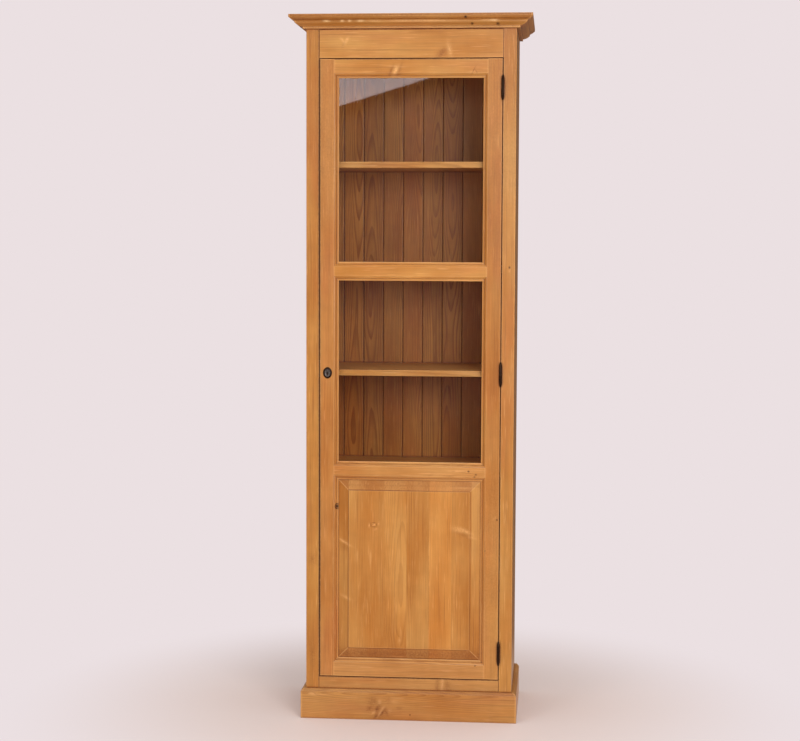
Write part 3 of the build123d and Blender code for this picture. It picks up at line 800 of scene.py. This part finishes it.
for level, height in hinge["heights"].items():
    makeHinge(level, height, "door", "door", hinge["bore"], 0)
    makeHinge(level, height, "frame", "root", hinge["pin"], math.pi)


escutcheon = {
    "place": (-246, -164, 1046),
    # half width, half height and height above the door, from the rim inwards
    "rings": ((13.5, 17, 0), (13.4, 16.9, 0.5), (12.3, 15.7, 1.3), (11.3, 14.6, 1.5), (10.7, 13.9, 1.7),
              (10.1, 13.2, 2.1), (9.4, 12.4, 2.1), (8.8, 11.7, 1.7), (8.2, 11, 1.0), (6.5, 9.8, 0.6)),
    "plate": (8.8, 11.7),   # half width and half height of the paler plate inside the ring
    "hole": 2.8,            # radius of the keyhole's round part
    "slotEnd": 8.5,         # how far down its slot goes
    "slotFrom": 1.2,        # the slot takes what is this near the middle
    "slotFlare": 1.2,       # and widens it
    "pins": (1.35, 15.2),   # height above the door, and distance from the middle
}


def makeEscutcheon():
    shape = bmesh.new()
    rings, radius = escutcheon["rings"], escutcheon["hole"]
    wide, tall, _ = rings[0]
    upright = Matrix.Rotation(math.radians(90), 4, "X")
    bmesh.ops.create_circle(shape, segments=32, radius=1,
                            matrix=upright @ Matrix.Diagonal((*millimetres(wide, tall), 1, 1)))
    edges = list(shape.edges)
    hole = ((radius, radius, rings[-1][2]), (radius, radius, 0))
    for nextWide, nextTall, height in (*rings[1:], *hole, rings[0]):
        made = bmesh.ops.extrude_edge_only(shape, edges=edges)["geom"]
        edges = [edge for edge in ofKind(made, bmesh.types.BMEdge) if edge.is_boundary]
        for vert in ofKind(made, bmesh.types.BMVert):
            vert.co = (vert.co.x * nextWide / wide, -height / 1000, vert.co.z * nextTall / tall)
        wide, tall = nextWide, nextTall
    bmesh.ops.remove_doubles(shape, verts=shape.verts, dist=0.000001)
    for vert in shape.verts:  # the slot under the round of the keyhole
        away = math.hypot(vert.co.x, vert.co.z) * 1000
        if away < radius + 0.1 and vert.co.z < 0 and abs(vert.co.x) * 1000 < escutcheon["slotFrom"]:
            vert.co.x *= escutcheon["slotFlare"]
            vert.co.z = -escutcheon["slotEnd"] / 1000
    height, aside = escutcheon["pins"]
    for side in (-1, 1):
        addCopy(shape, pin, headPlace(millimetres(0, -height, side * aside), (0, -1, 0)))
    for face in shape.faces:
        middle = face.calc_center_median() * 1000
        inside = math.hypot(middle.x / escutcheon["plate"][0], middle.z / escutcheon["plate"][1]) < 1
        face.material_index = int(inside)
    bmesh.ops.translate(shape, vec=millimetres(*escutcheon["place"]), verts=shape.verts)
    addFitting("cast_escutcheon", shape, (bronze, palePlate), "door", "escutcheon")


makeEscutcheon()
print("hinges and escutcheon made")


# where the heads of screws, nails and pins are, in mm
joinery = {
    "strike": {"x": -271.5, "y": -148.5, "heights": (1038, 1078)},
    "lock": {"across": (-264, -238), "heights": (1031, 1073)},
    "bearer": {"x": 278, "depths": (-80, 42, 165), "heights": (1647, 1337, 1027, 727, 417)},
    "nail": {"y": 203, "steps": (12, 50), "heights": (117, 435, 745, 1045, 1355, 1665, 2074)},
    "doorBack": -142.5,
    "bead": {"x": 222.8, "margin": 50, "inset": 3.7, "across": (-180, -90, 0, 90, 180),
             "openings": ((767.5, 1334.5), (1364, 1931))},
}


def beadPinPlaces():
    # five along each length of bead
    bead, back = joinery["bead"], joinery["doorBack"]
    places = []
    for low, high in bead["openings"]:
        for step, x in enumerate(bead["across"]):
            rise = low + bead["margin"] + step * (high - low - 2 * bead["margin"]) / 4
            places += [(side * bead["x"], back, rise) for side in (-1, 1)]
            places += [(x, back, z) for z in (low + bead["inset"], high - bead["inset"])]
    return places


def addHeads(name, head, body, outward, places):
    shape = bmesh.new()
    for number, place in enumerate(places):
        addCopy(shape, head, headPlace(millimetres(*place), outward, number * fastener["turn"]))
    addFitting(name, shape, (steel,), body)


strike, lock, bearer, nailed = [joinery[name] for name in ("strike", "lock", "bearer", "nail")]
addHeads("strike_plate_screws", screw, "root", (1, 0, 0),
         [(strike["x"], strike["y"], z) for z in strike["heights"]])
addHeads("lock_case_screws", screw, "door", (0, 1, 0),
         [(x, joinery["doorBack"], z) for x in lock["across"] for z in lock["heights"]])
for name, side in (("left", -1), ("right", 1)):
    addHeads("shelf_bearer_" + name + "_screws", screw, "root", (-side, 0, 0),
             [(side * bearer["x"], y, z) for z in bearer["heights"] for y in bearer["depths"]])
addHeads("back_board_nails", nail, "root", (0, 1, 0),
         [(backBoards["left"] + backBoards["pitch"] * board + step, nailed["y"], z)
          for board in range(9) for step in nailed["steps"] for z in nailed["heights"]])
addHeads("bead_pins", pin, "door", (0, 1, 0), beadPinPlaces())
print("screws, nails and pins made")


stage = {
    "floor": srgb(234, 220, 217),
    "wall": srgb(235, 224, 226),
    "size": 14.0,
    "fade": (0.45, 1.3),      # metres from the middle over which the floor turns into the backdrop
    "sky": 0.84,              # light from straight above
    "horizon": 0.34,
    "mirrored": 0.75,         # share of the backdrop that glass and metal show from the left in front
    "mirroredAside": 0.025,   # from the right in front
    "mirroredBehind": 0.12,
    "window": 8.5,            # level of the bright patch that the upper pane shows
    "windowEdge": (0.313, 0.1084),   # slope and height of its lower edge, in directions
}


def makeFloor():
    shape = bmesh.new()
    bmesh.ops.create_grid(shape, x_segments=1, y_segments=1, size=stage["size"])
    floor = placeObject("floor", meshFrom("floor", shape))
    graph = Graph("floor")
    place = graph.node("ShaderNodeTexCoord", None, None, "Object")
    away = graph.node("ShaderNodeVectorMath", {"operation": "LENGTH"}, {0: place}, "Value")
    fade = graph.smooth(away, *stage["fade"])
    straight, glossy, through = [graph.node("ShaderNodeLightPath", None, None, ray)
                                 for ray in ("Is Camera Ray", "Is Glossy Ray", "Is Transmission Ray")]
    gleam = glossy + through
    matte = graph.node("ShaderNodeBsdfDiffuse", None, {"Color": stage["floor"]})
    glow = graph.node("ShaderNodeEmission", None, {"Color": stage["wall"],
                                                   "Strength": straight + gleam * stage["mirroredBehind"]})
    far = fade * (straight + gleam)
    shader = graph.node("ShaderNodeMixShader", None, {0: far, 1: matte, 2: glow})
    floor.data.materials.append(graph.finish(shader))


def makeWorld():
    # the sky lights the room, the camera sees the wall, and gloss mirrors a room with a bright window
    graph = Graph("world", world=True)
    way = graph.node("ShaderNodeTexCoord", None, None, "Generated")
    aside, onward, rise = [graph.node("ShaderNodeSeparateXYZ", None, {0: way}, axis) for axis in range(3)]
    level = graph.smooth(rise, 0.1, 0.95, stage["horizon"], stage["sky"])
    room = graph.smooth(aside, -0.25, 0.02, stage["mirrored"], stage["mirroredAside"])
    slope, height = stage["windowEdge"]
    above = rise - aside * slope - height
    room = room * graph.smooth(above, -0.003, -0.012, 0.1, 1.0)
    window = (graph.smooth(above, -0.0004, 0.0008) * graph.smooth(rise, 0.12, 0.1)
              * graph.smooth(aside, -0.15, -0.13))
    room = graph.smooth(onward, -0.3, 0.1, room + window * stage["window"], stage["mirroredBehind"])
    light = graph.node("ShaderNodeBackground", None, {"Color": (1.0, 0.96, 0.93, 1), "Strength": level})
    wall = graph.node("ShaderNodeBackground", None, {"Color": stage["wall"], "Strength": 1.0})
    mirrored = graph.node("ShaderNodeBackground", None, {"Color": stage["wall"], "Strength": room})
    camera = graph.node("ShaderNodeLightPath", None, None, "Is Camera Ray")
    glossy = graph.node("ShaderNodeLightPath", None, None, "Is Glossy Ray")
    mixed = graph.node("ShaderNodeMixShader", None, {0: glossy, 1: light, 2: mirrored})
    seen = graph.node("ShaderNodeMixShader", None, {0: camera, 1: mixed, 2: wall})
    bpy.context.scene.world = graph.finish(seen)


lights = {
    "key": {"place": (1.6, -4.1, 2.1), "target": (0, 0, 1.05), "size": (1.6, 1.6), "power": 79,
            "colour": (1.0, 0.97, 0.94), "inPanes": False},
    "fill": {"place": (-2.6, -4.4, 2.4), "target": (0, 0, 1.0), "size": (1.6, 1.8), "power": 29,
             "colour": (1.0, 0.96, 0.94)},
    "above": {"place": (0.0, -1.9, 4.6), "target": (0, -0.6, 0.0), "size": (3.0, 2.0), "power": 22,
              "colour": (1.0, 0.98, 0.96)},
}


def keepOut(light, names):
    # the light passes over these pieces, so that they don't mirror it
    passed = bpy.data.collections.new("passed_by_" + light.name)
    for name in names:
        passed.objects.link(nodes[name])
    for entry in passed.collection_objects:
        entry.light_linking.link_state = "EXCLUDE"
    light.light_linking.receiver_collection = passed


def makeLight(name, place, target, size, power, colour, inPanes=True):
    data = bpy.data.lights.new(name, "AREA")
    data.shape = "RECTANGLE"
    data.size, data.size_y = size
    data.energy = power
    data.color = colour
    made = placeObject(name, data)
    made.matrix_world = (Matrix.Translation(place)
                         @ (Vector(place) - Vector(target)).to_track_quat("Z", "Y").to_matrix().to_4x4())
    made.visible_camera = False
    if not inPanes:
        keepOut(made, panes)


makeFloor()
makeWorld()
for name, values in lights.items():
    makeLight(name, **values)
bpy.context.scene.view_settings.view_transform = "Standard"
print("stage and light set")
